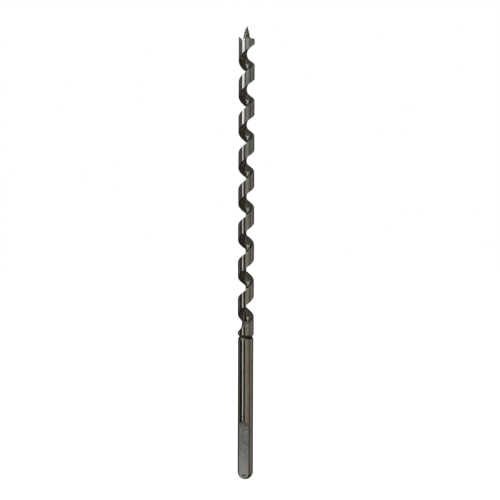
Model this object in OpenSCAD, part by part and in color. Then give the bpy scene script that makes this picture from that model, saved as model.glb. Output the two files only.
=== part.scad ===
// Single-twist auger bit: threaded point, one scoring spur, one cutting lip,
// one wide spiral flute and a round shank with one long drive flat.
// The origin is the centre of the shank's end face. +Z runs along the bit to the point.

/* [Overall] */
// Length from the shank's end face to the point
bit_len = 450; // [430:5:480]
// Diameter of the hole that the bit cuts
bit_d = 16; // [15.8:0.1:17]

/* [Shank] */
// Length of the shank, up to the root of the V groove
shank_len = 141.1; // [135:0.1:160]
// Diameter of the shank
shank_d = 15.4; // [15:0.1:15.8]
// Diameter of the small flat at the shank's end
end_face_d = 4.8; // [3:0.1:6]
// Height of the elliptical dome at the shank's end
end_dome = 7; // [5:0.5:9]
// Distance from the axis to the drive flat
flat_reach = 6; // [5.7:0.1:6.6]
// Straight length of the drive flat, from the end face
flat_len = 53; // [40:1:70]
// Radius of the milling cutter that ends the flat
flat_runout_r = 9; // [6:1:14]
// Direction that the drive flat faces, anticlockwise from +X
flat_turn = 255; // [0:1:359]

/* [Joint between shank and twist] */
// Width of the V groove at the surface
groove_w = 4.2; // [3:0.1:5]
// Diameter at the root of the V groove
groove_d = 12.8; // [11:0.1:14]
// Diameter of the spigot that seats in the shank
spigot_d = 7; // [5:0.5:9]
// Length of the spigot
spigot_len = 10; // [6:1:16]

/* [Twist] */
// Pitch of the spiral at the groove
pitch_tail = 36.9; // [35:0.1:38]
// Pitch of the spiral at the cutting head
pitch_head = 34.95; // [34.05:0.1:36.95]
// Radius of the round flute, across the spiral
flute_r = 8.7; // [8.6:0.05:9]
// Steel left between the flute and the axis
core_r = 0.32; // [0.22:0.02:1]
// Direction that the flute faces at the top of the head, anticlockwise from +X
mouth_turn = 154.4; // [150:0.1:159]
// Length over which the flute rises out of the steel at its lower end
runout_len = 26; // [22:1:28]
// Steel under the shelf near the end of that rise, measured from the axis
shelf_r = 4.1; // [3:0.1:5]

/* [Cutting head] */
// Length of the head, from the end of the twist to its top face
head_len = 19; // [17:1:22]
// Height of the point above the head's top face
point_len = 12.7; // [11:0.1:14]
// Drop of the top face in one turn behind the cutting lip
relief_per_turn = 5.2; // [3:0.1:7]
// Direction of the wall that closes the mouth of the flute, anticlockwise from +X
mouth_wall_turn = 180; // [176:1:184]
// Width of the cutting lip, back from its edge
lip_wide = 3.4; // [3:0.1:4]
// Thickness of the cutting lip
lip_thick = 1.6; // [1.2:0.1:2]
// Angle between the cutting lip's underside and its top
lip_rake = 41; // [36:1:50]
// Length of the cutting lip, in from the rim
lip_len = 4; // [3:0.1:4.4]
// Angle between the cutting lip and the radius through its outer corner
lip_slant = -22; // [-26:1:-18]
// Height of the spur above the head's top plane
spur_rise = 1.9; // [1:0.1:3]
// Depth of the spur's seat below the head's top plane
spur_seat = 5.5; // [4:0.5:7]
// Thickness of the spur, in from the rim
spur_thick = 1.9; // [1.5:0.1:2.3]
// Angle that the spur covers round the rim
spur_sweep = 34; // [24:1:44]
// Width of the spur's leading edge
spur_edge = 0.5; // [0.2:0.1:1.5]
// Angle at which the spur's point slopes down inwards
spur_slope = 38; // [20:1:50]

/* [Lead screw] */
// Diameter over the thread at the root of the screw
screw_d = 6.5; // [6:0.1:7]
// Pitch of the screw's thread
thread_pitch = 2.9; // [2.5:0.1:3.5]
// Height of the thread
thread_h = 0.45; // [0.3:0.05:0.6]
// Sideways lean of the fine end of the thread
point_lean = 1; // [0:0.1:1.2]
// Height of the flared root above the head's top plane
root_rise = 2; // [1.5:0.1:2.5]
// Width of the flare round the screw's root
flare_w = 1.6; // [1:0.1:2]
// Diameter of the plain tang that seats in the head
tang_d = 3.6; // [3:0.1:4]
// Length of the tang
tang_len = 7; // [5:0.5:8]

/* [Hidden] */

bit_r = bit_d / 2;
shank_r = shank_d / 2;
groove_r = groove_d / 2;
groove_top_z = shank_len + groove_w / 2;
groove_foot_z = shank_len - groove_w / 2;
top_z = bit_len - point_len;
head_z = top_z - head_len;
root_z = top_z + root_rise;
screw_root_r = screw_d / 2;
flare_r = screw_root_r + flare_w;
runout_z = groove_top_z + runout_len;
core_rise_z = head_z + 5;
core_rise_len = head_len - 8;
pitch_ease = (pitch_head - pitch_tail) / (top_z - shank_len);

flute_steps = 18;
land_steps = 16;
twist_step = 1.8;
head_flute_steps = 14;
head_land_steps = 12;
head_step = 1.25;
screw_steps = 26;
screw_step = 0.3;
least_lip = 8;
shelf_start = 0.74;
shelf_end = 0.8;
rim_clear = 0.1;
seat_over = 3;
braze_gap = 0.02;
screw_tip_r = 0.12;
thread_fade = 3;
lean_len = 3.5;

steel = [0.45, 0.45, 0.43];
dark_steel = [0.36, 0.36, 0.34];
bright_steel = [0.62, 0.62, 0.60];

function clamp01(x) = max(0, min(1, x));
function smooth(x) = let (t = clamp01(x)) t * t * (3 - 2 * t);
function mix(a, b, t) = a + (b - a) * t;
function polar(r, turn, z) = [r * cos(turn), r * sin(turn), z];

// The spiral: its pitch changes evenly from the groove to the head's top.
function pitch_at(z) = pitch_tail + pitch_ease * (z - shank_len);
function flute_turn(z) = mouth_turn - 360 * ln(pitch_head / pitch_at(z)) / pitch_ease;

// The flute is a round rod's path along the spiral. u is the angle round the rod,
// 0 where the rod comes nearest to the axis, and core is the steel left there.
function rod_centre(core) = core + flute_r;
function rise_per_radian(z) = pitch_at(z) / (2 * PI);
function rod_slope(core, z) = norm([rod_centre(core), rise_per_radian(z)]);
function rod_side(u, core, z) = flute_r * sin(u) * rise_per_radian(z) / rod_slope(core, z);
function rod_out(u, core) = rod_centre(core) - flute_r * cos(u);
function rod_reach(u, core, z) = norm([rod_out(u, core), rod_side(u, core, z)]);
function rod_lead(u, core, z) =
    flute_r * rod_centre(core) * sin(u) / (rod_slope(core, z) * rise_per_radian(z)) * 180 / PI;
function rod_swing(u, core, z) = atan2(rod_side(u, core, z), rod_out(u, core)) + rod_lead(u, core, z);

// The angle round the rod where the flute meets the rim, found by halving.
function lip_angle(core, z, low = 0, high = 110, left = 24) =
    left == 0 ? low :
    let (half = (low + high) / 2)
    rod_reach(half, core, z) > bit_r
        ? lip_angle(core, z, low, half, left - 1)
        : lip_angle(core, z, half, high, left - 1);

// Where the flute runs out, the core grows to a shelf and then, at its very end, to just past the rim.
function runout_core(z) =
    let (t = clamp01((runout_z - z) / runout_len), lift = clamp01((t - shelf_end) / (1 - shelf_end)))
    mix(core_r, shelf_r, smooth(t / shelf_start)) + (bit_r + rim_clear - shelf_r) * lift * lift;
// In the head, the core grows to the root of the lead screw.
function head_core(z) = mix(core_r, screw_root_r, smooth((z - core_rise_z) / core_rise_len));
function core_at(z) = z < head_z ? runout_core(z) : head_core(z);
function body_r(z) = mix(groove_r, bit_r, clamp01((z - shank_len) / (groove_w / 2)));

// Half of the angle that the flute takes up in the head, measured at the rim.
lip_swing = rod_swing(lip_angle(core_r, head_z), core_r, head_z);

// One closed outline of the spiral at height z, anticlockwise from the flute's leading lip.
// across and round are the numbers of steps over the flute and round the land.
function spiral_ring(z, across, round) =
    let (
        core = core_at(z),
        u_lip = max(lip_angle(core, z), least_lip),
        natural = rod_swing(u_lip, core, z),
        full = z < head_z ? natural : lip_swing,
        lead = flute_turn(z) - full,
        trail = min(flute_turn(z) + full, mouth_wall_turn),
        middle = (lead + trail) / 2,
        squeeze = (trail - lead) / 2 / natural
    )
    [for (k = [0 : across + round - 1])
        k <= across
            ? let (u = u_lip * (2 * k / across - 1))
              polar(min(rod_reach(u, core, z), body_r(z)), middle + squeeze * rod_swing(u, core, z), z)
            : polar(body_r(z), mix(trail, lead + 360, (k - across) / round), z)];

// Faces of a closed skin over rings that all have n points.
function skin_sides(rings, n) =
    [for (i = [0 : rings - 2]) for (k = [0 : n - 1]) for (half = [0, 1])
        let (k2 = (k + 1) % n, low = i * n, high = (i + 1) * n)
        half == 0 ? [low + k, high + k, high + k2] : [low + k, high + k2, low + k2]];
function skin_foot(n) = [[for (k = [0 : n - 1]) k]];
function skin_head(rings, n) = [[for (k = [n - 1 : -1 : 0]) (rings - 1) * n + k]];

module skin(rings) {
    n = len(rings[0]);
    polyhedron(
        points = [for (ring = rings) for (p = ring) p],
        faces = concat(skin_foot(n), skin_sides(len(rings), n), skin_head(len(rings), n)),
        convexity = 12
    );
}

// The cut for the drive flat: its far end follows the milling cutter's radius.
module flat_cut() {
    depth = shank_r - flat_reach + 1;
    translate([flat_reach, 0, 0]) rotate([90, 0, 0]) linear_extrude(shank_d + 2, center = true) {
        translate([0, -1]) square([depth, flat_len + 1]);
        intersection() {
            translate([flat_runout_r, flat_len]) circle(flat_runout_r, $fn = 96);
            translate([0, flat_len - 1]) square([depth, flat_runout_r + 1]);
        }
    }
}

function dome_r(z) =
    let (face = end_face_d / 2, start = end_dome * (1 - sqrt(1 - pow(face / shank_r, 2))))
    shank_r * sqrt(max(0, 1 - pow(1 - (z * (end_dome - start) / end_dome + start) / end_dome, 2)));

module shank() color(steel) {
    dome_steps = 14;
    difference() {
        rotate_extrude($fn = 128) polygon(concat(
            [[0, 0]],
            [for (i = [0 : dome_steps])
                let (z = end_dome * pow(i / dome_steps, 1.5)) [dome_r(z), z]],
            [[shank_r, groove_foot_z], [groove_r, shank_len], [0, shank_len]]
        ));
        rotate(flat_turn) flat_cut();
        translate([0, 0, shank_len - spigot_len]) cylinder(h = spigot_len + 1, d = spigot_d, $fn = 64);
    }
}

module twist_body() color(dark_steel) {
    first = shank_len;
    steps = ceil((head_z - first) / twist_step);
    seat = [for (p = spiral_ring(first, flute_steps, land_steps)) [p.x, p.y] / norm([p.x, p.y])];
    skin(concat(
        [for (z = [first - spigot_len, first]) [for (p = seat) [p.x * spigot_d / 2, p.y * spigot_d / 2, z]]],
        [for (i = [0 : steps]) spiral_ring(mix(first, head_z, i / steps), flute_steps, land_steps)]
    ));
}

// The head before its three seats are cut. Its top face falls away behind the lip
// and rises to the screw's root in a short flare.
module head_blank() {
    steps = ceil(head_len / head_step);
    solid_turn = 360 - mouth_wall_turn + mouth_turn - lip_swing;
    across = head_flute_steps;
    round = head_land_steps;
    function behind(k) = solid_turn * (k <= across ? k / across : 1 - (k - across) / round);
    function relieved(p, k, part) =
        [p.x, p.y, p.z - pow(part, 3) * relief_per_turn * behind(k) / 360];
    rings = [for (i = [0 : steps])
        let (ring = spiral_ring(mix(head_z, top_z, i / steps), across, round))
        [for (k = [0 : across + round - 1]) relieved(ring[k], k, i / steps)]];
    rim = rings[steps];
    flare = [for (p = rim) let (r = norm([p.x, p.y]), keep = min(1, flare_r / r))
        [p.x * keep, p.y * keep, mix(p.z, top_z, 0.5)]];
    neck = [for (p = rim) let (r = norm([p.x, p.y]))
        [p.x * screw_root_r / r, p.y * screw_root_r / r, root_z]];
    skin(concat(rings, [flare], [neck]));
}

// A bar behind the flute's leading lip, drawn as its end: x is how far it reaches ahead of the
// lip's edge and y is how far above. It turns about the lip's outer corner to follow the flute.
module lip_bar(outline) {
    rotate(mouth_turn - lip_swing) translate([bit_r, 0, top_z]) rotate(lip_slant)
        rotate([90, 0, 90]) translate([0, 0, -lip_len]) linear_extrude(lip_len + seat_over) polygon(outline);
}

// The space of the spur: from a flat inner wall out to outer_r, and from the mouth wall
// back round the head.
module rim_block(outer_r, height) {
    inner = bit_r - spur_thick;
    rotate(mouth_wall_turn) translate([0, 0, top_z - spur_seat]) linear_extrude(height) intersection() {
        circle(outer_r, $fn = 128);
        rotate(spur_sweep / 2) translate([inner, -bit_r]) square([bit_r, bit_d]);
        rotate(spur_sweep) translate([0, -bit_r]) square([2 * bit_r, bit_r]);
        square([2 * bit_r, bit_r]);
    }
}

module tang_hole() {
    translate([0, 0, root_z - tang_len]) cylinder(h = tang_len + 1, d = tang_d + 2 * braze_gap, $fn = 48);
}

module cutting_head() color(steel) {
    difference() {
        head_blank();
        lip_bar([
            [-lip_wide, -lip_thick],
            [seat_over, -lip_thick],
            [seat_over, seat_over],
            [-lip_wide, seat_over]
        ]);
        rim_block(bit_r + seat_over, spur_seat + 2 * seat_over);
        tang_hole();
    }
}

module cutting_lip() color(bright_steel) {
    intersection() {
        lip_bar([
            [-lip_wide, -lip_thick],
            [-lip_thick / tan(lip_rake), -lip_thick],
            [0, 0],
            [-lip_wide, 0]
        ]);
        cylinder(h = bit_len, r = bit_r, $fn = 128);
    }
}

// The spur's leading edge stands upright. Its back slopes down to the head's top face,
// and its point slopes down inwards from the rim.
module side_spur() color(bright_steel) {
    point_z = top_z + spur_rise;
    foot_z = top_z - relief_per_turn / 2;
    back = bit_r * sin(spur_sweep);
    difference() {
        rim_block(bit_r, spur_seat + spur_rise);
        rotate(mouth_wall_turn) translate([bit_r, 0, point_z]) rotate([0, -spur_slope, 0])
            translate([-bit_d, -bit_r, 0]) cube([2 * bit_d, bit_d, bit_d]);
        rotate(mouth_wall_turn) rotate([90, 0, 90]) linear_extrude(bit_d)
            polygon([
                [spur_edge, point_z + 1],
                [spur_edge, point_z],
                [back, foot_z],
                [bit_d, foot_z],
                [bit_d, point_z + 1]
            ]);
    }
}

function screw_cone_r(z) =
    let (t = clamp01((z - root_z) / (bit_len - root_z)))
    mix(screw_root_r - thread_h, screw_tip_r, pow(t, 1.6));
function thread_ridge(z, turn) =
    let (f = (z - root_z) / thread_pitch - turn / 360, near = abs(2 * (f - floor(f)) - 1))
    thread_h * pow(near, 1.5) * clamp01((bit_len - z) / thread_fade);

module lead_screw() color(bright_steel) {
    steps = ceil((bit_len - root_z) / screw_step);
    tang = [for (k = [0 : screw_steps - 1]) polar(tang_d / 2, 360 * k / screw_steps, 0)];
    skin(concat(
        [for (z = [root_z - tang_len, root_z]) [for (p = tang) [p.x, p.y, z]]],
        [for (i = [0 : steps])
            let (z = mix(root_z, bit_len, i / steps))
            [for (k = [0 : screw_steps - 1])
                let (turn = 360 * k / screw_steps)
                polar(screw_cone_r(z) + thread_ridge(z, turn), turn, z)
                    + [point_lean * pow(clamp01((z - bit_len + lean_len) / lean_len), 2), 0, 0]]]
    ));
}

shank();
twist_body();
cutting_head();
cutting_lip();
side_spur();
lead_screw();
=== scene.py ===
"""A single-twist auger bit standing upright on a pale floor in a plain, soft-lit studio.

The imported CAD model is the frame. Each piece here replaces one CAD node with a finer mesh of the
same size. Lengths inside the shape functions are in millimetres and angles in degrees. Angles
run anticlockwise from +X, so 270 faces the camera.
"""

import math

import bmesh
import bpy
import numpy as np
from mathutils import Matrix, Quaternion, Vector


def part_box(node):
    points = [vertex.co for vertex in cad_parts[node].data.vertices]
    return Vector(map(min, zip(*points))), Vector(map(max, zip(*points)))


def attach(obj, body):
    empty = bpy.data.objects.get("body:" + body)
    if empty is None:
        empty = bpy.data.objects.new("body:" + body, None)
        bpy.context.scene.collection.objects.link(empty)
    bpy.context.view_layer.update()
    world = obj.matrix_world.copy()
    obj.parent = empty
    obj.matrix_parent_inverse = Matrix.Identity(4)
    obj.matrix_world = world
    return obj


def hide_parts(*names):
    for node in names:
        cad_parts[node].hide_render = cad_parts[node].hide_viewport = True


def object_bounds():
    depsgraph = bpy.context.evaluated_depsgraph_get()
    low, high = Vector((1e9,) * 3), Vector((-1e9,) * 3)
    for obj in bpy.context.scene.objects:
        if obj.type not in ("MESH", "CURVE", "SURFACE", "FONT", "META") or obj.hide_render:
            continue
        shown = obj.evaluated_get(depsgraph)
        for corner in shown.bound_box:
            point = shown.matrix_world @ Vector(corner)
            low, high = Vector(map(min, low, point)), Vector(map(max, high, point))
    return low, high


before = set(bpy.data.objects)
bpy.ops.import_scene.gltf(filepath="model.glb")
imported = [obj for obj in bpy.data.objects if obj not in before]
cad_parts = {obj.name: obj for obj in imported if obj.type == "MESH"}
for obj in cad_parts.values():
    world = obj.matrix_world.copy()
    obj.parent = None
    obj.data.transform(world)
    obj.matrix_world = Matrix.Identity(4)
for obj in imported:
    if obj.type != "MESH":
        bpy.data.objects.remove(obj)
cad_box = [list(corner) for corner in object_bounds()]

MM = 0.001


def millimetres(node):
    """The CAD node's lowest and highest corner, in millimetres."""
    return [np.array(corner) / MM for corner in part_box(node)]


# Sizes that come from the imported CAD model.
BIT_R = round(float(millimetres("twist_body")[1][0]), 1)
SHANK_R = round(float(millimetres("shank")[1][0]), 1)
SEAM_Z = round(float(millimetres("shank")[1][2]), 2)
HEAD_Z = round(float(millimetres("cutting_head")[0][2]), 2)
TOP_Z = round(float(millimetres("cutting_lip")[1][2]), 2)
ROOT_Z = round(float(millimetres("cutting_head")[1][2]), 2)
TIP_Z = round(float(millimetres("lead_screw")[1][2]), 2)
SPUR_Z = round(float(millimetres("side_spur")[1][2]), 2)

# Shank.
GROOVE_R = 6.4
GROOVE_HALF = 2.1
END_FACE_R = 2.4
END_DOME = 7.0
FLAT_REACH = 6.0
FLAT_LEN = 53.0
FLAT_RUNOUT_R = 9.0
FLAT_TURN = 255.0
FLAT_EDGE_ROUND = 0.12
# Rows of points beside each edge of the flat, and where the even rows begin, in degrees.
FLAT_EDGE_STEPS = np.array([0.4, 0.8, 1.3, 2.0])
FLAT_EDGE_GAP = 3.0

# Spiral flute.
PITCH_TAIL = 36.9
PITCH_HEAD = 34.95
FLUTE_R = 8.7
CORE_R = 0.32
MOUTH_TURN = 154.4
RUNOUT_LEN = 26.0
SHELF_R = 4.1
SHELF_START = 0.74
SHELF_END = 0.8
GROOVE_BLEND = 0.3
# How much of each of the flute's lips is rounded away, and about how far the lips are from
# its middle.
LEAD_ROUND = 0.3
TRAIL_ROUND = 0.7
FLUTE_HALF_ARC = 9.0
# Rows of points: up the spiral, across the flute and round each of its lips.
SPIRAL_STEPS = 500
FLUTE_STEPS = 44
CORNER_STEPS = 5

# Marks where the flute runs out, each an angle, a height, a width and a length, as in_pit wants:
# a pressed-in tool mark darkened with painted shade, and beside it a patch of painted highlight.
TOOL_MARK = (266.0, 160.0, 4.3, 3.3)
PAINTED_GLINT = (301.0, 160.2, 2.6, 2.2)
TOOL_MARK_DEPTH = 0.5
# How dark the tool mark is painted, as painted shade, and how bright the painted highlight beside
# it is.
TOOL_MARK_SHADE = 2.2
PAINTED_GLINT_BRIGHT = 1.2
# A line of painted shade along the flute, placed from -1 to 1 across it.
FLUTE_SHADE_DARK = 0.6
FLUTE_SHADE_AT = -0.3
FLUTE_SHADE_WIDE = 0.15

# Cutting head and lead screw.
RELIEF_PER_TURN = 5.2
MOUTH_WALL_TURN = 180.0
SCREW_ROOT_R = 3.25
FLARE_R = 4.85
LIP_WIDE = 3.4
LIP_THICK = 1.6
LIP_RAKE = 41.0
LIP_LEN = 4.0
LIP_SLANT = -22.0
HOLLOW_TURN = 317.0
HOLLOW_WIDE = 1.3
HOLLOW_TALL = 8.0
HOLLOW_DEPTH = 0.7
# How dark the hollow is painted: painted shade.
HOLLOW_SHADE = 0.9
PROUD = 0.03
SPUR_SEAT = 5.5
SPUR_THICK = 1.9
SPUR_SWEEP = 34.0
SPUR_EDGE = 0.5
SPUR_SLOPE = 38.0
TANG_R = 1.8
TANG_LEN = 1.5
POINT_R = 0.12
THREAD_PITCH = 2.9
THREAD_H = 0.45
POINT_LEAN = 1.0
LEAN_LEN = 3.5

RUNOUT_Z = SEAM_Z + GROOVE_HALF + RUNOUT_LEN
PITCH_EASE = (PITCH_HEAD - PITCH_TAIL) / (TOP_Z - SEAM_Z)


# ---------------------------------------------------------------- numbers

def clamp01(x):
    return max(0.0, min(1.0, x))


def smooth(x):
    t = clamp01(x)
    return t * t * (3 - 2 * t)


def mix(a, b, t):
    return a + (b - a) * t


def soft_min(a, b, width):
    """The lower of a and b, with the corner between them rounded."""
    near = np.maximum(width - np.abs(a - b), 0) / width
    return np.minimum(a, b) - near * near * width / 4


def polar(r, turn):
    """Points at radius r and angle turn, as an (n, 2) array."""
    turn = np.radians(turn)
    return np.stack([r * np.cos(turn), r * np.sin(turn)], -1)


# ---------------------------------------------------------------- meshes

def new_piece(name, body, replaced, materials):
    """Adds the bmesh as a smooth object that rides on root and stands for its CAD node."""
    layer = body.verts.layers.float_vector.get("true normal")
    normals = layer and np.array([v[layer] for v in body.verts])
    mesh = bpy.data.meshes.new(name)
    body.to_mesh(mesh)
    body.free()
    mesh.transform(((MM, 0, 0, 0), (0, MM, 0, 0), (0, 0, MM, 0), (0, 0, 0, 1)))
    if normals is not None:
        set_normals(mesh, normals)
        mesh.attributes.remove(mesh.attributes["true normal"])
    for material in materials:
        mesh.materials.append(material)
    piece = bpy.data.objects.new(name, mesh)
    bpy.context.scene.collection.objects.link(piece)
    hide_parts(replaced)
    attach(piece, "root")
    return piece


def set_normals(mesh, normals):
    """Gives every smooth face its corners' true normals, and every end face its own."""
    corner_normals = []
    for face in mesh.polygons:
        for index in face.vertices:
            corner_normals.append(normals[index] if face.use_smooth else face.normal)
    mesh.normals_split_custom_set(corner_normals)


def grid_normals(points):
    """Normals of a closed skin of rings, from each point's four neighbours."""
    round_it = np.roll(points, -1, 1) - np.roll(points, 1, 1)
    padded = np.concatenate([points[:1], points, points[-1:]])
    along_it = padded[2:] - padded[:-2]
    normals = np.cross(round_it, along_it)
    return normals / np.maximum(np.linalg.norm(normals, axis=2, keepdims=True), 1e-9)


def add_points(body, points, wear_and_painted_light):
    """Adds each ring of points to the bmesh, with their wear and painted light values and their
    true normals.
    """
    wear_layer = body.verts.layers.float.new("wear_and_painted_light")
    normal_layer = body.verts.layers.float_vector.new("true normal")
    normals = grid_normals(points)
    rows = []
    for i, ring in enumerate(points):
        row = [body.verts.new(point) for point in ring]
        for k, vert in enumerate(row):
            vert[wear_layer] = wear_and_painted_light[i, k]
            vert[normal_layer] = normals[i, k]
        rows.append(row)
    return rows


def loft(rings, heights, wear_and_painted_light, kind=None):
    """A closed skin over rings of the same number of points, with flat ends.

    rings is (levels, n, 2) and heights is (levels, n) or (levels,). The wear value per point is
    what the materials read: steel is bright where it is above 0, from wear and from painted
    highlight, and darkened with painted shade where it is below.
    kind is a material number per column, or per level and column.
    """
    levels, n = rings.shape[:2]
    heights = np.broadcast_to(np.reshape(heights, (levels, -1)), (levels, n))
    kinds = np.broadcast_to(0 if kind is None else kind, (levels, n))
    body = bmesh.new()
    rows = add_points(body, np.concatenate([rings, heights[:, :, None]], 2), wear_and_painted_light)
    for low, high, row_kinds in zip(rows, rows[1:], kinds):
        for k in range(n):
            k2 = (k + 1) % n
            face = body.faces.new((low[k], low[k2], high[k2], high[k]))
            face.smooth = True
            face.material_index = int(row_kinds[k])
    for end in (rows[0][::-1], rows[-1]):
        face = body.faces.new(end)
        for edge in face.edges:
            edge.smooth = False
    body.normal_update()
    return body


# ---------------------------------------------------------------- the spiral

def pitch_at(z):
    return PITCH_TAIL + PITCH_EASE * (z - SEAM_Z)


def flute_turn(z):
    """Angle of the flute's middle at a height."""
    return MOUTH_TURN - 360 * math.log(PITCH_HEAD / pitch_at(z)) / PITCH_EASE


class Flute:
    """The flute's outline at one height: the path of a round rod along the spiral."""

    def __init__(self, z, core):
        self.centre = core + FLUTE_R
        self.rise = pitch_at(z) / (2 * math.pi)
        self.slope = math.hypot(self.centre, self.rise)
        self.edge = self.find_edge()
        self.half = float(self.swing(self.edge))

    def side(self, u):
        return FLUTE_R * np.sin(u) * self.rise / self.slope

    def out(self, u):
        return self.centre - FLUTE_R * np.cos(u)

    def reach(self, u):
        return np.hypot(self.out(u), self.side(u))

    def swing(self, u):
        """Angle from the flute's middle, in degrees, for the angle u round the rod."""
        lead = FLUTE_R * self.centre * np.sin(u) / (self.slope * self.rise)
        return np.degrees(np.arctan2(self.side(u), self.out(u)) + lead)

    def find_edge(self):
        """The angle round the rod at which the flute meets the rim."""
        low, high = 0.0, math.radians(110)
        for _ in range(26):
            half = (low + high) / 2
            if self.reach(half) > BIT_R:
                high = half
            else:
                low = half
        return max(low, math.radians(4))


def runout_core(z):
    """Steel left under the flute: it grows to a shelf and then to the rim at the lower end."""
    t = clamp01((RUNOUT_Z - z) / RUNOUT_LEN)
    lift = clamp01((t - SHELF_END) / (1 - SHELF_END))
    return mix(CORE_R, SHELF_R, smooth(t / SHELF_START)) + (BIT_R + 0.1 - SHELF_R) * lift * lift


def head_core(z):
    """In the head the core grows to the root of the lead screw."""
    return mix(CORE_R, SCREW_ROOT_R, smooth((z - HEAD_Z - 5) / (TOP_Z - HEAD_Z - 8)))


# Half the width of the flute's mouth where the head begins, in degrees.
HEAD_SWING = Flute(HEAD_Z, CORE_R).half


def body_r(z):
    """The land's radius: it falls to the root of the V groove, with a small broken corner."""
    above = z - SEAM_Z
    slope = GROOVE_R + (BIT_R - GROOVE_R) * above / GROOVE_HALF
    return float(soft_min(slope, BIT_R, GROOVE_BLEND))


def rounded_corner(before, corner, after, steps):
    """Points on a small curve from before to after that leaves the corner out."""
    t = np.linspace(0, 1, steps + 2)[1:-1, None]
    return before * (1 - t) ** 2 + corner * 2 * t * (1 - t) + after * t * t


def lip_rounding(z, core, open_part):
    """How far the leading and the trailing lip are rounded, and how shallow the flute is."""
    head_part = clamp01((z - HEAD_Z + 6) / 6)
    shallow = clamp01(2 * (core - CORE_R) / (SHELF_R - CORE_R)) if z < HEAD_Z else 0.0
    lead_round = LEAD_ROUND * open_part
    trail_round = mix(TRAIL_ROUND, LEAD_ROUND, max(head_part, shallow)) * open_part
    return lead_round, trail_round, shallow


def spiral_section(z, around):
    """One closed outline of the spiral, from the flute's leading lip anticlockwise.

    Returns the points and each point's wear and painted shade value.
    """
    core = runout_core(z) if z < HEAD_Z else head_core(z)
    flute = Flute(z, core)
    full = flute.half if z < HEAD_Z else HEAD_SWING
    lead = flute_turn(z) - full
    trail = min(flute_turn(z) + full, MOUTH_WALL_TURN)
    squeeze = (trail - lead) / 2 / flute.half
    middle = (lead + trail) / 2
    rim = body_r(z)
    lead_round, trail_round, shallow = lip_rounding(z, core, clamp01((trail - lead) / 60))
    start, end = lead_round / FLUTE_HALF_ARC - 1, 1 - trail_round / FLUTE_HALF_ARC
    u = flute.edge * np.linspace(start, end, FLUTE_STEPS + 1)
    hollow = polar(np.minimum(flute.reach(u), rim), middle + squeeze * flute.swing(u))
    land_start = trail + math.degrees(trail_round / rim)
    land_end = lead + 360 - math.degrees(lead_round / rim)
    land = polar(rim, np.linspace(land_start, land_end, around + 1))
    trail_corner, lead_corner = polar(rim, trail), polar(rim, lead)
    points = np.concatenate([
        hollow,
        rounded_corner(hollow[-1], trail_corner, land[0], CORNER_STEPS),
        land,
        rounded_corner(land[-1], lead_corner, hollow[0], CORNER_STEPS),
    ])
    return points, spiral_wear_and_shade(around) * (1 - shallow)


def spiral_wear_and_shade(around):
    """Wear of each column: high along the lips, and below 0 on a line of painted shade in the
    flute.
    """
    on_lip = np.ones(CORNER_STEPS)
    wear_and_painted_light = np.concatenate([fade(FLUTE_STEPS + 1, 2), on_lip, fade(around + 1, 3), on_lip])
    off = (np.linspace(-1, 1, FLUTE_STEPS + 1) - FLUTE_SHADE_AT) / FLUTE_SHADE_WIDE
    # Painted shade: a dark line along the flute.
    wear_and_painted_light[:FLUTE_STEPS + 1] -= FLUTE_SHADE_DARK * np.exp(-off ** 2)
    return wear_and_painted_light


def fade(count, reach):
    """Wear over a run of points: strong at both ends and none in the middle."""
    k = np.arange(count)
    return np.clip(1 - np.minimum(k, count - 1 - k) / reach, 0, 1)


def spiral_kinds(around):
    """Material number of each column of the spiral: 1 in the flute and 0 elsewhere."""
    kinds = np.zeros(FLUTE_STEPS + around + 2 + 2 * CORNER_STEPS, int)
    kinds[:FLUTE_STEPS] = 1
    return kinds


def in_pit(ring, z, pit):
    """How deep in a pit each point lies, from 0 to 1.

    pit is the angle and height of its middle, its width round the bit and its length.
    """
    turn, middle_z, wide, tall = pit
    angle = np.degrees(np.arctan2(ring[:, 1], ring[:, 0]))
    off = np.radians((angle - turn + 180) % 360 - 180) * BIT_R / wide
    return np.exp(-off ** 2 - ((z - middle_z) / tall) ** 2)


def pressed_in(ring, depth):
    """The ring moved towards the axis by the depth at each point."""
    r = np.hypot(*ring.T)
    return ring * (1 - np.minimum(depth, r / 3) / r)[:, None]


def build_twist(materials):
    """The spiral, with a pressed-in tool mark darkened by painted shade and a patch of painted
    highlight where the flute runs out.
    """
    around = 74
    near_groove = np.linspace(SEAM_Z, SEAM_Z + GROOVE_HALF + 0.6, 12)
    above = np.linspace(near_groove[-1] + 0.5, HEAD_Z, SPIRAL_STEPS)
    heights = np.concatenate([near_groove, above])
    rings, wear_and_painted_light = [], []
    for z in heights:
        ring, ring_wear_and_shade = spiral_section(z, around)
        pit = in_pit(ring, z, TOOL_MARK)
        rings.append(pressed_in(ring, TOOL_MARK_DEPTH * pit))
        # Painted shade darkens the tool mark, and a painted highlight brightens the patch beside
        # it.
        wear_and_painted_light.append(ring_wear_and_shade - TOOL_MARK_SHADE * pit + PAINTED_GLINT_BRIGHT * in_pit(ring, z, PAINTED_GLINT))
    body = loft(np.array(rings), heights, np.array(wear_and_painted_light), spiral_kinds(around))
    return new_piece("twist", body, "twist_body", materials)


# ---------------------------------------------------------------- the shank

def shank_r(z):
    """The shank's radius before the flat is cut."""
    start = END_DOME * (1 - math.sqrt(1 - (END_FACE_R / SHANK_R) ** 2))
    if z < END_DOME:
        low = (z * (END_DOME - start) / END_DOME + start) / END_DOME
        return SHANK_R * math.sqrt(max(0.0, 1 - (1 - low) ** 2))
    groove = GROOVE_R + (SHANK_R - GROOVE_R) * (SEAM_Z - z) / GROOVE_HALF
    return float(soft_min(groove, SHANK_R, GROOVE_BLEND))


def flat_reach(z):
    """Distance from the axis to the flat, with the milling cutter's curve at its end."""
    past = z - FLAT_LEN
    if past <= 0:
        return FLAT_REACH
    return FLAT_REACH + FLAT_RUNOUT_R - math.sqrt(max(0.0, FLAT_RUNOUT_R ** 2 - past ** 2))


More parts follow.
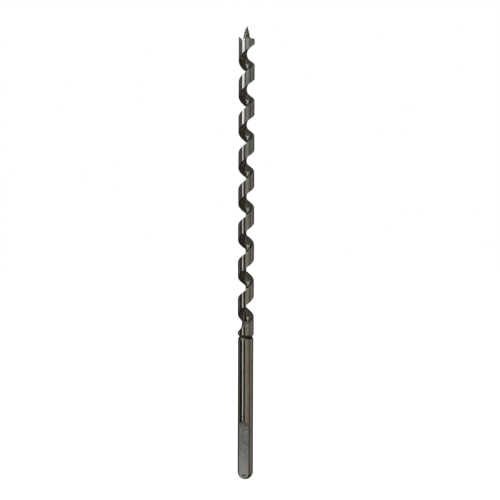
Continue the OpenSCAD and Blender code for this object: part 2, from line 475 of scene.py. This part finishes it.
def shank_section(z, across, around):
    """One outline of the shank, from the left edge of the flat anticlockwise.

    Returns the points and each point's wear value: the flat's left edge is worn, and its right
    edge is darkened with painted shade.
    """
    r, reach = shank_r(z), flat_reach(z)
    half = math.degrees(math.acos(min(1.0, reach / r))) if reach < r else 0.0
    half = max(half, FLAT_EDGE_GAP)
    inner = half - FLAT_EDGE_GAP + 0.1
    outer = half + FLAT_EDGE_GAP
    after = np.concatenate([[0], FLAT_EDGE_STEPS])
    before = FLAT_EDGE_STEPS[::-1]
    inside = [after - half, np.linspace(-inner, inner, across), half - before]
    outside = [half + after, np.linspace(outer, 360 - outer, around), 360 - half - before]
    turn = np.concatenate(inside + outside)
    to_flat = np.where(np.cos(np.radians(turn)) > 0.05, reach / np.cos(np.radians(turn)), 1e3)
    wear_and_painted_light = np.clip(1 - np.abs(turn - 360 + half) / 2, 0, 1)
    # Painted shade: a dark line beside the flat's right edge.
    wear_and_painted_light -= np.clip(1.2 - np.abs(turn - half) / 4, 0, 1) * (reach < r)
    return polar(soft_min(to_flat, r, FLAT_EDGE_ROUND), turn + FLAT_TURN), wear_and_painted_light


def build_shank(materials):
    """The round shank with its domed end, its flat and the lower half of the groove."""
    across, around = 20, 110
    dome = END_DOME * np.linspace(0, 1, 26) ** 1.5
    body_z = np.linspace(END_DOME + 1, FLAT_LEN - 0.5, 40)
    runout_z = np.linspace(FLAT_LEN, FLAT_LEN + 5.6, 22)
    upper_z = np.linspace(FLAT_LEN + 7, SEAM_Z - GROOVE_HALF - 0.8, 40)
    groove_z = np.linspace(SEAM_Z - GROOVE_HALF - 0.4, SEAM_Z, 14)
    heights = np.concatenate([dome, body_z, runout_z, upper_z, groove_z])
    sections = [shank_section(z, across, around) for z in heights]
    rings = np.array([s[0] for s in sections])
    wear_and_painted_light = np.array([s[1] for s in sections])
    body = loft(rings, heights, wear_and_painted_light)
    mark_flat(body)
    return new_piece("shank_bar", body, "shank", materials)


def mark_flat(body):
    """Faces that lie on the milled flat or on its curved end get the second material."""
    turn = math.radians(FLAT_TURN)
    for face in body.faces:
        middle = face.calc_center_median()
        out = middle.x * math.cos(turn) + middle.y * math.sin(turn)
        facing = face.normal.x * math.cos(turn) + face.normal.y * math.sin(turn)
        if facing > 0.5 and abs(out - flat_reach(middle.z)) < 0.05 and middle.z > 0.1:
            face.material_index = 1


# ---------------------------------------------------------------- the cutting head

def in_hollow(ring, z):
    """How deep each point lies in the shallow upright hollow just behind the cutting lip."""
    top = TOP_Z - 1
    return in_pit(ring, min(z, top), (HOLLOW_TURN, top, HOLLOW_WIDE, HOLLOW_TALL))


def relief(count, around):
    """How far each column drops at the head's top: the further behind the lip, the more."""
    solid_turn = 360 - MOUTH_WALL_TURN + MOUTH_TURN - HEAD_SWING
    column = np.arange(count)
    on_land = (column - FLUTE_STEPS - CORNER_STEPS) / around
    behind = np.where(column <= FLUTE_STEPS, column / FLUTE_STEPS,
                      1 - np.clip(on_land, 0, 1)) * solid_turn
    return RELIEF_PER_TURN * behind / 360


def add_flare(rings, levels, wear_and_painted_light):
    """Adds the rings from the rim inwards to the flare, and then up it to the screw's root."""
    rim_r, rim_level = np.hypot(*rings[-1].T), levels[-1]
    unit = rings[-1] / rim_r[:, None]
    for t in np.linspace(0.12, 1, 8):
        r = np.minimum(rim_r, mix(rim_r, FLARE_R, smooth(t)))
        rings.append(unit * r[:, None])
        levels.append(mix(rim_level, TOP_Z, 0.5 * t ** 1.6))
        wear_and_painted_light.append(np.full(len(r), clamp01(0.8 - 2 * t)))
    shoulder = levels[-1]
    for t in np.linspace(0.2, 1, 6):
        r = np.minimum(rim_r, mix(FLARE_R, SCREW_ROOT_R, t ** 0.7))
        rings.append(unit * r[:, None])
        levels.append(mix(shoulder, ROOT_Z, t))
        wear_and_painted_light.append(np.zeros(len(r)))


def build_head(materials):
    """The last turn of the spiral, relieved behind the lip and flared into the screw's root."""
    around = 130
    heights = np.linspace(HEAD_Z, TOP_Z, 60)
    sections = [spiral_section(z, around) for z in heights]
    drop = relief(len(sections[0][0]), around)
    part = (heights - HEAD_Z) / (TOP_Z - HEAD_Z)
    levels = [z - p ** 3 * drop for z, p in zip(heights, part)]
    hollows = [in_hollow(s[0], z) for s, z in zip(sections, heights)]
    # Points in the hollow behind the lip are darkened with painted shade.
    wear_and_painted_light = [s[1] * (1 - 0.5 * p) - HOLLOW_SHADE * h for s, p, h in zip(sections, part, hollows)]
    rings = [pressed_in(s[0], HOLLOW_DEPTH * h) for s, h in zip(sections, hollows)]
    add_flare(rings, levels, wear_and_painted_light)
    kinds = np.tile(spiral_kinds(around), (len(rings), 1))
    kinds[len(heights) - 1:] = 1
    body = loft(np.array(rings), np.array(levels), np.array(wear_and_painted_light), kinds)
    return new_piece("head", body, "cutting_head", materials)


def lip_outline():
    """The lip bar's end: how far ahead of its edge, and how far above."""
    foot = -LIP_THICK / math.tan(math.radians(LIP_RAKE))
    return [(-LIP_WIDE, -LIP_THICK), (foot, -LIP_THICK), (0.0, 0.0), (-LIP_WIDE, 0.0)]


def build_lip(materials):
    """A slanted bar along the flute's leading lip, cut off at the rim."""
    turn = math.radians(MOUTH_TURN - HEAD_SWING)
    slant = turn + math.radians(LIP_SLANT)
    corner = np.array([math.cos(turn), math.sin(turn)]) * BIT_R
    along = np.array([math.cos(slant), math.sin(slant)])
    ahead = np.array([-math.sin(slant), math.cos(slant)])
    body = bmesh.new()
    rows = []
    for forward, up in lip_outline():
        start = corner + ahead * forward
        lean = float(start @ along)
        to_rim = -lean + math.sqrt(lean ** 2 - float(start @ start) + (BIT_R + PROUD) ** 2)
        row = [start + along * d for d in np.linspace(-LIP_LEN, to_rim, 5)]
        rows.append([body.verts.new((p[0], p[1], TOP_Z + PROUD + up)) for p in row])
    for a, b in zip(rows, rows[1:] + rows[:1]):
        for k in range(4):
            body.faces.new((a[k], a[k + 1], b[k + 1], b[k]))
    body.faces.new([row[0] for row in rows][::-1])
    body.faces.new([row[-1] for row in rows])
    bmesh.ops.recalc_face_normals(body, faces=body.faces)
    for face in body.faces:
        face.smooth = True
    lip = new_piece("lip", body, "cutting_lip", materials)
    soften(lip, 0.08)
    return lip


def spur_points(turn, cuts):
    """The spur's top points at one angle past its leading edge, from inside to the rim."""
    foot_z = TOP_Z - RELIEF_PER_TURN / 2
    back = BIT_R * math.sin(math.radians(SPUR_SWEEP))
    slope = math.tan(math.radians(SPUR_SLOPE))
    start = (BIT_R - SPUR_THICK) / math.cos(math.radians(turn - SPUR_SWEEP / 2))
    points = []
    for r in np.linspace(start, BIT_R + PROUD, cuts + 1):
        across = r * math.cos(math.radians(turn))
        along = r * math.sin(math.radians(turn))
        ramp = clamp01((along - SPUR_EDGE) / (back - SPUR_EDGE))
        top = min(mix(SPUR_Z, foot_z, ramp), SPUR_Z - (BIT_R - across) * slope)
        x, y = polar(r, MOUTH_WALL_TURN + turn)
        points.append((x, y, max(top, foot_z - 1.2)))
    return points


def build_spur(materials):
    """A tooth at the rim: an upright leading edge, a sloping back and a point that leans out."""
    turns, cuts = 14, 5
    tops, feet = [], []
    body = bmesh.new()
    for turn in np.linspace(0, SPUR_SWEEP, turns + 1):
        top_row, foot_row = [], []
        for x, y, z in spur_points(turn, cuts):
            top_row.append(body.verts.new((x, y, z)))
            foot_row.append(body.verts.new((x, y, TOP_Z - SPUR_SEAT)))
        tops.append(top_row)
        feet.append(foot_row)
    for i in range(turns):
        for j in range(cuts):
            body.faces.new((tops[i][j], tops[i][j + 1], tops[i + 1][j + 1], tops[i + 1][j]))
            body.faces.new((feet[i][j], feet[i + 1][j], feet[i + 1][j + 1], feet[i][j + 1]))
        for j in (0, cuts):
            body.faces.new((tops[i][j], tops[i + 1][j], feet[i + 1][j], feet[i][j]))
    for i in (0, turns):
        for j in range(cuts):
            body.faces.new((tops[i][j], feet[i][j], feet[i][j + 1], tops[i][j + 1]))
    bmesh.ops.recalc_face_normals(body, faces=body.faces)
    for face in body.faces:
        face.smooth = True
    spur = new_piece("spur", body, "side_spur", materials)
    soften(spur, 0.1)
    return spur


def soften(piece, width):
    """Breaks the sharp edges by a small bevel."""
    bevel = piece.modifiers.new("broken edges", "BEVEL")
    bevel.width = width * MM
    bevel.segments = 2
    bevel.limit_method = "ANGLE"
    bevel.angle_limit = math.radians(28)
    bevel.harden_normals = True


# ---------------------------------------------------------------- the lead screw

def screw_core(z):
    """Radius at the thread's root."""
    t = clamp01((z - ROOT_Z) / (TIP_Z - ROOT_Z))
    return mix(SCREW_ROOT_R - THREAD_H, POINT_R, t ** 1.6)


def build_screw(materials):
    """A tapered right-hand screw whose fine end leans a little to one side."""
    around = 80
    turn = np.arange(around) * 360 / around
    rings, heights, wear_and_painted_light = [], [], []
    for z in np.linspace(ROOT_Z - TANG_LEN, TIP_Z, 150):
        f = (z - ROOT_Z) / THREAD_PITCH - turn / 360
        near = np.abs(2 * (f - np.floor(f)) - 1)
        ridge = THREAD_H * near ** 1.5 * clamp01((TIP_Z - z) / 3)
        lean = POINT_LEAN * clamp01((z - TIP_Z + LEAN_LEN) / LEAN_LEN) ** 2
        r = screw_core(z) + ridge if z > ROOT_Z else np.full(around, TANG_R)
        rings.append(polar(r, turn) + [lean, 0])
        heights.append(z)
        # How near each point is to the thread's crest, which screw_steel turns into painted
        # highlight and shade.
        wear_and_painted_light.append(near ** 2)
    body = loft(np.array(rings), np.array(heights), np.array(wear_and_painted_light))
    return new_piece("screw", body, "lead_screw", materials)


# ---------------------------------------------------------------- materials

class Nodes:
    """Short calls for building a node tree."""

    def __init__(self, tree):
        self.tree = tree

    def add(self, kind, inputs=(), **settings):
        node = self.tree.nodes.new("ShaderNode" + kind)
        for key, value in settings.items():
            setattr(node, key, value)
        for socket, value in dict(inputs).items():
            self.put(node.inputs[socket], value)
        return node

    def put(self, socket, value):
        if isinstance(value, bpy.types.NodeSocket):
            self.tree.links.new(value, socket)
        else:
            socket.default_value = value

    def math(self, operation, *values):
        return self.add("Math", dict(enumerate(values)), operation=operation).outputs[0]

    def fit(self, value, low, high, to_low=0.0, to_high=1.0, shape="LINEAR"):
        node = self.add("MapRange", {
            "Value": value, "From Min": low, "From Max": high, "To Min": to_low, "To Max": to_high,
        }, interpolation_type=shape)
        return node.outputs["Result"]

    def blend(self, factor, a, b):
        return self.add("Mix", {0: factor, 6: a, 7: b}, data_type="RGBA").outputs[2]


class Material(Nodes):
    """The node tree of one material, with the calls that steel needs."""

    def __init__(self, name):
        self.material = bpy.data.materials.new(name)
        self.material.use_nodes = True
        super().__init__(self.material.node_tree)
        self.shader = self.tree.nodes["Principled BSDF"]
        self.coords = self.add("TexCoord").outputs["Object"]

    def noise(self, per_mm, detail=4.0, rough=0.55, distortion=0.0):
        """Noise whose features repeat per_mm times a millimetre along X, Y and Z."""
        scaled = self.add("Mapping", {"Vector": self.coords, "Scale": [s / MM for s in per_mm]})
        node = self.add("TexNoise", {
            "Vector": scaled.outputs["Vector"], "Scale": 1.0, "Detail": detail,
            "Roughness": rough, "Distortion": distortion,
        })
        return node.outputs["Fac"]

    def place(self):
        """The X, Y and Z of each point, in metres."""
        return self.add("SeparateXYZ", {"Vector": self.coords}).outputs

    def spot(self, middle_mm, per_mm):
        """1 near the middle, and 0 where the scaled distance from it has passed 1.2."""
        scale = [s / MM for s in per_mm]
        shift = [-m * MM * s for m, s in zip(middle_mm, scale)]
        mapped = self.add("Mapping", {"Vector": self.coords, "Scale": scale, "Location": shift})
        far = self.add("VectorMath", {0: mapped.outputs["Vector"]}, operation="LENGTH")
        return self.fit(far.outputs["Value"], 1.2, 0.7)

    def wear_and_painted_light(self):
        return self.add("Attribute", attribute_name="wear_and_painted_light").outputs["Fac"]

    def shaded(self):
        """1 where the wear value is well below 0: painted shade in the tool mark, the head's
        hollow, the line along the flute and beside the flat.
        """
        return self.fit(self.wear_and_painted_light(), -0.25, -0.7)

    def bump(self, height, distance_mm, strength, below=None):
        inputs = {"Height": height, "Distance": distance_mm * MM, "Strength": strength}
        if below is not None:
            inputs["Normal"] = below
        return self.add("Bump", inputs).outputs["Normal"]

    def finish(self, colour, roughness, normal, metallic=1.0):
        self.put(self.shader.inputs["Metallic"], metallic)
        self.put(self.shader.inputs["Base Color"], colour)
        self.put(self.shader.inputs["Roughness"], roughness)
        self.put(self.shader.inputs["Normal"], normal)
        return self.material


def lower_groove(n, height):
    """1 on the lower side of the V groove, where painted shade goes, and 0 away from it."""
    start = SEAM_Z - GROOVE_HALF
    past_start = n.fit(height, start * MM, (start + 0.5) * MM)
    before_end = n.fit(height, (SEAM_Z + 0.1) * MM, (SEAM_Z + 0.5) * MM, 1.0, 0.0)
    return n.math("MULTIPLY", past_start, before_end)


def ground_steel(name, clean, stained, stains_shown):
    """Round-ground steel: fine lines round the bar, brown-grey stains and bright worn edges.

    It is painted lighter towards the head as a painted reflection, and the lower side of the V
    groove is darkened with painted shade.
    """
    rust, speck, worn = (0.47, 0.385, 0.31, 1), (0.26, 0.225, 0.18, 1), (0.78, 0.77, 0.74, 1)
    # These two colours are painted shade: one for points with a low wear value, one for the
    # groove's lower side.
    scale, groove_shade = (0.14, 0.13, 0.11, 1), (0.09, 0.083, 0.07, 1)
    # Painted reflection colour for the steel near the head.
    head_sheen = (0.86, 0.88, 0.89, 1)
    n = Material(name)
    lines = n.noise((0.12, 0.12, 9.0), 3.0)
    stains = n.noise((0.16, 0.16, 0.07), 5.0, 0.62, 0.4)
    rusts = n.noise((0.3, 0.3, 0.1), 5.0, 0.68, 0.5)
    specks = n.noise((1.3, 1.3, 0.8), 4.0, 0.7)
    waves = n.noise((0.3, 0.3, 0.16), 2.0)
    height = n.place()["Z"]
    colour = n.blend(n.fit(stains, 0.42, 0.68), clean, stained)
    colour = n.blend(n.fit(rusts, 0.52, 0.66, 0.0, stains_shown), colour, rust)
    colour = n.blend(n.fit(specks, 0.52, 0.68, 0.0, stains_shown), colour, speck)
    # Wear above 0 shows bright worn steel; at the patch beside the tool mark it is a painted
    # highlight.
    colour = n.blend(n.fit(n.wear_and_painted_light(), 0.15, 1.0, 0.0, 0.75), colour, worn)
    # Points with a low wear value get painted shade.
    colour = n.blend(n.shaded(), colour, scale)
    # Painted reflection: the steel is painted lighter towards the head.
    head_sheen_part = n.fit(height, 0.395, 0.420, 0.0, 0.65)
    colour = n.blend(head_sheen_part, colour, head_sheen)
    in_groove = lower_groove(n, height)
    # The lower side of the V groove is darkened with painted shade.
    colour = n.blend(in_groove, colour, groove_shade)
    rough = n.fit(in_groove, 0.0, 1.0, n.fit(lines, 0.3, 0.7, 0.08, 0.15), 0.45)
    normal = n.bump(waves, 0.025, 1.0)
    normal = n.bump(lines, 0.0012, 0.3, normal)
    normal = n.bump(specks, 0.003, 0.2, normal)
    return n.finish(colour, rough, normal)


def flute_steel(name):
    """The flute as forged and quenched: dark, olive-brown and mottled, with painted shade where
    the wear value is below 0.
    """
    dark, light, grit = (0.25, 0.235, 0.20, 1), (0.34, 0.32, 0.28, 1), (0.17, 0.155, 0.13, 1)
    # The second colour here is painted shade, for points whose wear value is well below 0.
    worn, scale = (0.72, 0.71, 0.68, 1), (0.012, 0.011, 0.01, 1)
    n = Material(name)
    cloud = n.noise((0.22, 0.22, 0.16), 5.0, 0.6, 0.6)
    grain = n.noise((1.6, 1.6, 1.6), 5.0, 0.65)
    drag = n.noise((2.4, 2.4, 0.35), 3.0)
    shaded = n.shaded()
    colour = n.blend(n.fit(cloud, 0.35, 0.66), dark, light)
    colour = n.blend(n.fit(grain, 0.54, 0.75, 0.0, 0.2), colour, grit)
    # Wear above 0 shows bright worn steel; at the patch beside the tool mark it is a painted
    # highlight.
    colour = n.blend(n.fit(n.wear_and_painted_light(), 0.3, 1.0, 0.0, 0.8), colour, worn)
    # Points with a low wear value get painted shade.
    colour = n.blend(shaded, colour, scale)
    rough = n.fit(shaded, 0.0, 1.0, n.fit(grain, 0.3, 0.7, 0.2, 0.3), 0.7)
    normal = n.bump(grain, 0.004, 0.3)
    normal = n.bump(drag, 0.002, 0.3, normal)
    return n.finish(colour, rough, normal, 0.85)


def milled_steel(name):
    """The drive flat: dull, mottled grey with fine milling lines, lighter towards the end.

    A dark scuff lies near the end, and the right side is rubbed smoother.
    """
    dark, light, brown = (0.13, 0.13, 0.125, 1), (0.97, 0.98, 0.95, 1), (0.34, 0.31, 0.26, 1)
    worn, bright, scuffed = (0.7, 0.69, 0.66, 1), (1.0, 0.99, 0.95, 1), (0.12, 0.125, 0.115, 1)
    n = Material(name)
    mottle = n.noise((1.1, 1.1, 0.7), 6.0, 0.75, 0.3)
    cloud = n.noise((0.12, 0.12, 0.06), 3.0)
    lines = n.noise((0.5, 0.5, 5.0), 3.0)
    place = n.place()
    colour = n.blend(n.fit(mottle, 0.4, 0.6), dark, light)
    colour = n.blend(n.fit(cloud, 0.4, 0.62, 0.0, 0.35), colour, brown)
    colour = n.blend(n.fit(n.wear_and_painted_light(), 0.15, 1.0, 0.0, 0.5), colour, worn)
    near_end = n.fit(place["Z"], 0.038, 0.006, 0.0, 0.85)
    colour = n.blend(near_end, colour, bright)
    scuff = n.spot((-1.3, 0, 5.0), (0.4, 0, 0.75))
    colour = n.blend(n.math("MULTIPLY", scuff, n.fit(mottle, 0.3, 0.6)), colour, scuffed)
    right_side = n.fit(place["X"], 0.0006, 0.0024)
    rubbed = n.math("MULTIPLY", right_side, n.fit(place["Z"], 0.034, 0.016))
    rough = n.fit(rubbed, 0.0, 1.0, n.fit(mottle, 0.3, 0.7, 0.48, 0.6), 0.3)
    normal = n.bump(mottle, 0.03, 0.6)
    normal = n.bump(lines, 0.004, 0.5, normal)
    return n.finish(colour, rough, normal, 0.42)


def edge_steel(name):
    """Filed bright steel of the lip and the spur, with fine file strokes."""
    dark, light = (0.46, 0.45, 0.43, 1), (0.66, 0.65, 0.62, 1)
    n = Material(name)
    strokes = n.noise((0.8, 7.0, 7.0), 3.0)
    cloud = n.noise((0.5, 0.5, 0.5), 4.0)
    colour = n.blend(n.fit(cloud, 0.35, 0.7), dark, light)
    rough = n.fit(strokes, 0.3, 0.7, 0.2, 0.34)
    return n.finish(colour, rough, n.bump(strokes, 0.005, 0.5))


def screw_steel(name):
    """The cut thread: painted shade in the roots and a painted highlight along the crests."""
    # The root colour is painted shade and the crest colour a painted highlight.
    root, crest_highlight, grit = (0.13, 0.12, 0.10, 1), (0.85, 0.84, 0.80, 1), (0.16, 0.145, 0.12, 1)
    n = Material(name)
    grain = n.noise((1.8, 1.8, 3.5), 4.0, 0.65)
    colour = n.blend(n.fit(n.wear_and_painted_light(), 0.05, 0.75), root, crest_highlight)
    colour = n.blend(n.fit(grain, 0.5, 0.72, 0.0, 0.5), colour, grit)
    rough = n.fit(grain, 0.3, 0.7, 0.22, 0.36)
    return n.finish(colour, rough, n.bump(grain, 0.01, 0.35))


# ---------------------------------------------------------------- studio

# How bright the studio's walls are, seen from the bit. Each entry is a bearing, the brightness
# low down and the brightness high up. Bearing 0 is behind the camera and negative is to the left.
WALLS = [
    (-180, 0.035, 0.08),
    (-140, 0.035, 0.1),
    (-116, 0.07, 0.11),
    (-100, 0.15, 0.08),
    (-90, 0.05, 0.06),
    (-82, 0.007, 0.07),
    (-64, 0.004, 0.11),
    (-58, 0.02, 0.25),
    (-36, 0.13, 0.24),
    (-31, 0.1, 0.1),
    (-26, 0.006, 0.03),
    (-14, 0.006, 0.1),
    (-9, 0.13, 0.26),
    (2, 0.32, 0.32),
    (20, 0.27, 0.28),
    (34, 0.23, 0.21),
    (46, 0.2, 0.13),
    (57, 0.12, 0.09),
    (66, 0.03, 0.11),
    (76, 0.2, 0.22),
    (92, 0.25, 0.21),
    (104, 0.17, 0.13),
    (140, 0.05, 0.09),
    (180, 0.035, 0.08),
]
LOW_TINT = (1.12, 1.03, 0.85)
HIGH_TINT = (1.05, 1.02, 0.93)
CEILING = (0.15, 0.145, 0.13, 1)
GROUND = (0.055, 0.052, 0.045, 1)

# Lights, floor, backdrop and camera, in metres and degrees.
LIGHT_AWAY = 1.5
LIGHT_COLOUR = (0.98, 1.0, 1.03)
FLOOR_R = 6.0
FLOOR_GAP = 0.0002
BACKDROP_R = 7.0
CAMERA_AT = (0.00396, -0.56, 0.2272)
CAMERA_ROLL = -0.205
CAMERA_LENS_MM = 40.5


def wall_ramp(n, factor, column, tint):
    """The walls' colour from one column of WALLS, all the way round."""
    node = n.add("ValToRGB", {"Fac": factor})
    stops = node.color_ramp.elements
    while len(stops) < len(WALLS):
        stops.new(1.0)
    for stop, entry in zip(stops, WALLS):
        stop.position = entry[0] / 360 + 0.5
        stop.color = (*(entry[column] * part for part in tint), 1)
    return node.outputs["Color"]


def build_studio():
    """A room with grey walls and dark screens, a grey ceiling and a dark ground."""
    world = bpy.data.worlds.new("studio")
    bpy.context.scene.world = world
    world.use_nodes = True
    n = Nodes(world.node_tree)
    toward = n.add("SeparateXYZ", {0: n.add("TexCoord").outputs["Generated"]}).outputs
    bearing = n.math("ARCTAN2", toward["X"], n.math("MULTIPLY", toward["Y"], -1.0))
    turn = n.math("MULTIPLY_ADD", bearing, 0.5 / math.pi, 0.5)
    high_up = n.fit(toward["Z"], -0.12, 0.26, shape="SMOOTHSTEP")
    ceiling = n.fit(toward["Z"], 0.4, 0.7, shape="SMOOTHSTEP")
    ground = n.fit(toward["Z"], -0.4, -0.75, shape="SMOOTHSTEP")
    room = n.blend(high_up, wall_ramp(n, turn, 1, LOW_TINT), wall_ramp(n, turn, 2, HIGH_TINT))
    room = n.blend(ceiling, room, CEILING)
    room = n.blend(ground, room, GROUND)
    n.put(n.tree.nodes["Background"].inputs["Color"], room)


def softbox(name, bearing, rise, size, brightness, tilt=0.0):
    """An area light seen from the bit's middle at a bearing and a rise above the horizon.

    size is its width and height in metres, and tilt turns it in its own plane.
    """
    data = bpy.data.lights.new(name, "AREA")
    data.shape = "RECTANGLE"
    data.size, data.size_y = size
    data.energy = brightness * math.pi * size[0] * size[1]
    data.color = LIGHT_COLOUR
    light = bpy.data.objects.new(name, data)
    bpy.context.scene.collection.objects.link(light)
    turn, rise = math.radians(bearing), math.radians(rise)
    level = math.cos(rise)
    away = Vector((math.sin(turn) * level, -math.cos(turn) * level, math.sin(rise)))
    light.location = away * LIGHT_AWAY + Vector((0, 0, (cad_box[0][2] + cad_box[1][2]) / 2))
    aim = away.to_track_quat("Z", "Y") @ Quaternion((0, 0, 1), math.radians(tilt))
    light.rotation_euler = aim.to_euler()
    light.visible_camera = False


def only_seen(obj):
    """The camera sees obj, but the steel doesn't reflect it."""
    obj.visible_glossy = False
    obj.visible_diffuse = False
    obj.visible_transmission = False
    obj.visible_shadow = False


def pale(name, glow, matt):
    """A plain white stage material that glows, so that it stays pale."""
    n = Material(name)
    n.put(n.shader.inputs["Base Color"], (matt, matt, matt, 1))
    n.put(n.shader.inputs["Roughness"], 1.0)
    n.put(n.shader.inputs["Specular IOR Level"], 0.0)
    n.put(n.shader.inputs["Emission Color"], (1, 1, 1, 1))
    n.put(n.shader.inputs["Emission Strength"], glow)
    return n.material


def stage_object(name, body, glow, matt):
    """An object with the bmesh's shape and a pale material of its own."""
    mesh = bpy.data.meshes.new(name)
    body.to_mesh(mesh)
    body.free()
    mesh.materials.append(pale(name, glow, matt))
    return bpy.data.objects.new(name, mesh)


def build_stage():
    """A pale floor under the bit and a white backdrop all round."""
    body = bmesh.new()
    bmesh.ops.create_circle(body, cap_ends=True, segments=96, radius=FLOOR_R)
    floor = stage_object("floor", body, 1.0, 0.8)
    floor.location.z = cad_box[0][2] - FLOOR_GAP
    body = bmesh.new()
    bmesh.ops.create_uvsphere(body, u_segments=48, v_segments=24, radius=BACKDROP_R)
    bmesh.ops.reverse_faces(body, faces=body.faces)
    backdrop = stage_object("backdrop", body, 1.0, 0.0)
    for obj in (floor, backdrop):
        bpy.context.scene.collection.objects.link(obj)
        only_seen(obj)


def build_camera():
    """The photo's view: almost level with the bit's middle, 56 cm away and tilted very little."""
    data = bpy.data.cameras.new("camera")
    data.sensor_width = 36.0
    data.lens = CAMERA_LENS_MM
    camera = bpy.data.objects.new("camera", data)
    bpy.context.scene.collection.objects.link(camera)
    camera.location = CAMERA_AT
    camera.rotation_euler = (math.radians(90), math.radians(CAMERA_ROLL), 0)
    bpy.context.scene.camera = camera


# ---------------------------------------------------------------- the scene

ground = ground_steel("ground twist", (0.63, 0.625, 0.61, 1), (0.55, 0.53, 0.49, 1), 0.3)
shank_ground = ground_steel("ground shank", (0.62, 0.61, 0.585, 1), (0.50, 0.465, 0.41, 1), 0.75)
flute = flute_steel("forged flute")
edge = edge_steel("filed edge")

build_shank([shank_ground, milled_steel("milled flat")])
build_twist([ground, flute])
build_head([ground, flute])
build_lip([edge])
build_spur([edge])
build_screw([screw_steel("cut thread")])

build_studio()
build_stage()
softbox("strip box", -49, 0, (0.32, 1.3), 0.85, 16)
softbox("low softbox", -47, 24, (0.88, 0.4), 0.76)
softbox("large softbox", -66, 46, (1.5, 0.75), 1.7)
softbox("top softbox", -5, 64, (0.9, 0.5), 0.4)
build_camera()
bpy.context.scene.view_settings.view_transform = "Standard"
